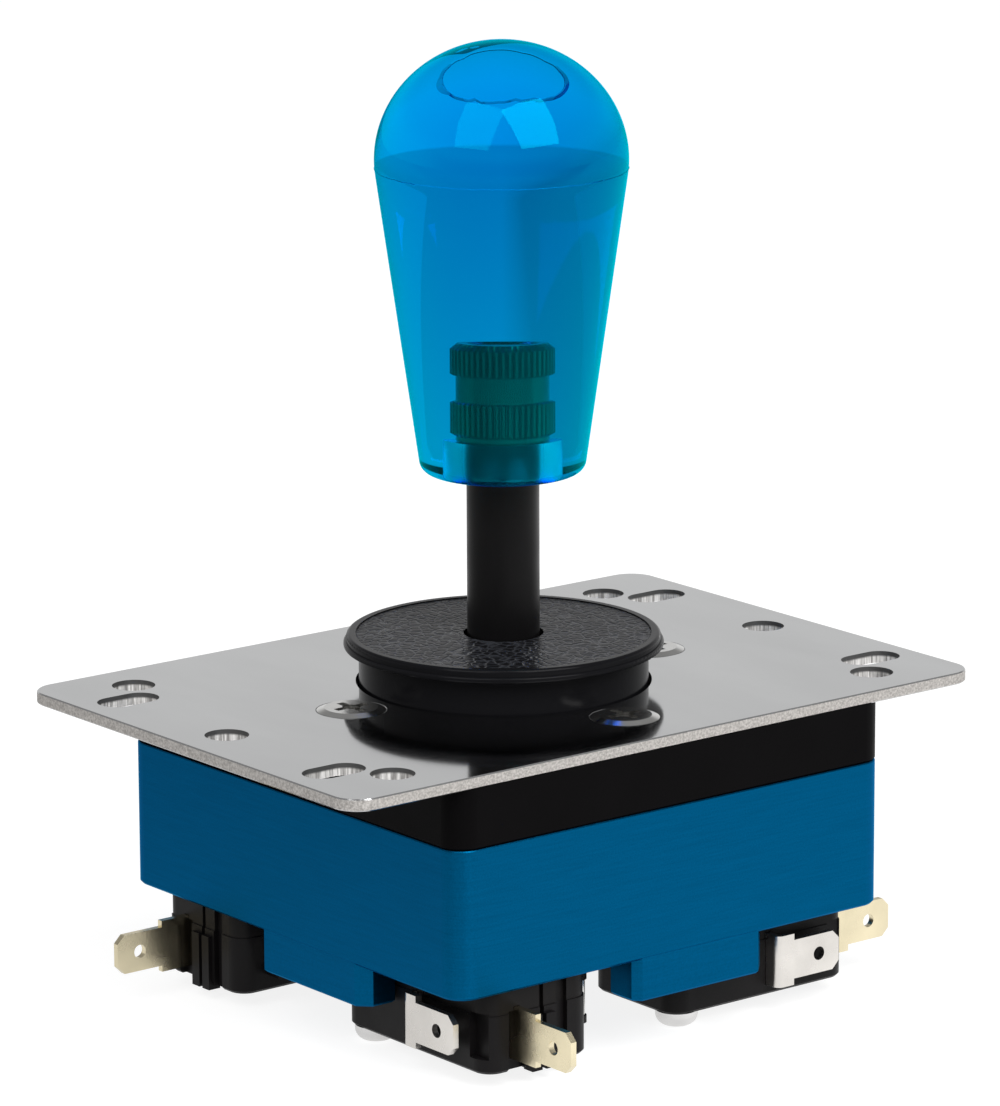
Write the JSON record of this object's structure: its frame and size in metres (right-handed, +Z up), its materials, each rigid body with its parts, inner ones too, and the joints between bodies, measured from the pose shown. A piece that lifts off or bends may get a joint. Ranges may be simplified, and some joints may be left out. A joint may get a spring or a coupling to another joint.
{
  "type": "arcade joystick lever",
  "caption": "Eight-way arcade joystick with a clear blue bat knob, sprung swivelling shaft, slotted steel mounting plate and a ring of lever microswitches below.",
  "frame": {"origin": "middle of the mounting plate's top face, on the lever's axis", "axes": "+X along the plate's long side, +Y along its short side, +Z up the lever"},
  "size_m": [0.096, 0.0844, 0.1178],
  "materials": {
    "plate_steel": "satin zinc plated",
    "screw_steel": "bright zinc plated",
    "black_housing": "satin black",
    "blue_housing": "brushed blue anodised",
    "ball_nylon": "smooth, greased",
    "cap_plastic": "leather grain top",
    "shaft_steel": "polished",
    "sleeve_plastic": "gloss black",
    "knob_acrylic": "clear blue, polished",
    "insert_brass": "knurled",
    "actuator_nylon": "natural nylon",
    "clip_steel": "dark phosphate",
    "spring_steel": "drawn wire",
    "switch_black": "fine spark texture",
    "switch_grey": "fine spark texture",
    "plunger_plastic": "smooth",
    "leaf_steel": "bright",
    "silver_tab": "silver plated",
    "brass_tab": "bright",
    "button_screw": "bright"
  },
  "bodies": {
    "base": {"mounting_plate": "plate_steel", "plate_screws": "screw_steel", "top_housing": "black_housing", "lower_housing": "blue_housing", "switch_screws": "button_screw", "switch_case_1": "switch_black", "switch_cover_1": "switch_grey", "com_terminal_1": "silver_tab", "no_terminal_1": "brass_tab", "switch_case_2": "switch_black", "switch_cover_2": "switch_grey", "com_terminal_2": "silver_tab", "no_terminal_2": "brass_tab", "switch_case_3": "switch_black", "switch_cover_3": "switch_grey", "com_terminal_3": "silver_tab", "no_terminal_3": "brass_tab", "switch_case_4": "switch_black", "switch_cover_4": "switch_grey", "com_terminal_4": "silver_tab", "no_terminal_4": "brass_tab"},
    "coil": {"return_spring": "spring_steel"},
    "swivel": {"pivot_ball": "ball_nylon", "dust_cap": "cap_plastic", "actuator": "actuator_nylon"},
    "stick": {"shaft": "shaft_steel", "shaft_sleeve": "sleeve_plastic", "knob": "knob_acrylic", "knob_insert": "insert_brass", "e_clip": "clip_steel"},
    "leaf_1": {"switch_leaf_1": "leaf_steel"},
    "plunger_1": {"switch_plunger_1": "plunger_plastic"},
    "leaf_2": {"switch_leaf_2": "leaf_steel"},
    "plunger_2": {"switch_plunger_2": "plunger_plastic"},
    "leaf_3": {"switch_leaf_3": "leaf_steel"},
    "plunger_3": {"switch_plunger_3": "plunger_plastic"},
    "leaf_4": {"switch_leaf_4": "leaf_steel"},
    "plunger_4": {"switch_plunger_4": "plunger_plastic"}
  },
  "joints": [
    {"name": "tilt_front_back", "type": "hinge", "parent": "base", "child": "coil", "pos_m": [0, 0, -0.00075], "axis": [1, 0, 0], "range_deg": [-7, 7], "stiffness_Nm_per_rad": 0.5, "deforming": ["return_spring"]},
    {"name": "tilt_left_right", "type": "hinge", "parent": "coil", "child": "swivel", "pos_m": [0, 0, -0.00075], "axis": [0, 1, 0], "range_deg": [-7, 7], "stiffness_Nm_per_rad": 0.5},
    {"name": "stick_spin", "type": "hinge", "parent": "swivel", "child": "stick", "pos_m": [0, 0, 0.03], "axis": [0, 0, 1], "continuous": true},
    {"name": "leaf_1_hinge", "type": "hinge", "parent": "base", "child": "leaf_1", "pos_m": [-0.0098, -0.0265, -0.03215], "axis": [0, 0, 1], "range_deg": [-5.2, 5.2]},
    {"name": "plunger_1_slide", "type": "slide", "parent": "base", "child": "plunger_1", "axis": [-1, 0, 0], "range_m": [-0.0016, 0.0016]},
    {"name": "leaf_2_hinge", "type": "hinge", "parent": "base", "child": "leaf_2", "pos_m": [0.0265, -0.0098, -0.03215], "axis": [0, 0, 1], "range_deg": [-5.2, 5.2]},
    {"name": "plunger_2_slide", "type": "slide", "parent": "base", "child": "plunger_2", "axis": [0, -1, 0], "range_m": [-0.0016, 0.0016]},
    {"name": "leaf_3_hinge", "type": "hinge", "parent": "base", "child": "leaf_3", "pos_m": [0.0098, 0.0265, -0.03215], "axis": [0, 0, 1], "range_deg": [-5.2, 5.2]},
    {"name": "plunger_3_slide", "type": "slide", "parent": "base", "child": "plunger_3", "axis": [1, 0, 0], "range_m": [-0.0016, 0.0016]},
    {"name": "leaf_4_hinge", "type": "hinge", "parent": "base", "child": "leaf_4", "pos_m": [-0.0265, 0.0098, -0.03215], "axis": [0, 0, 1], "range_deg": [-5.2, 5.2]},
    {"name": "plunger_4_slide", "type": "slide", "parent": "base", "child": "plunger_4", "axis": [0, 1, 0], "range_m": [-0.0016, 0.0016]}
  ],
  "couplings": [
    {"joint": "leaf_1_hinge", "follows": "tilt_left_right", "ratio": 0.73},
    {"joint": "leaf_2_hinge", "follows": "tilt_front_back", "ratio": -0.73},
    {"joint": "leaf_3_hinge", "follows": "tilt_left_right", "ratio": -0.73},
    {"joint": "leaf_4_hinge", "follows": "tilt_front_back", "ratio": 0.73},
    {"joint": "plunger_1_slide", "follows": "tilt_left_right", "m_per_rad": 0.013},
    {"joint": "plunger_2_slide", "follows": "tilt_front_back", "m_per_rad": -0.013},
    {"joint": "plunger_3_slide", "follows": "tilt_left_right", "m_per_rad": -0.013},
    {"joint": "plunger_4_slide", "follows": "tilt_front_back", "m_per_rad": 0.013}
  ]
}
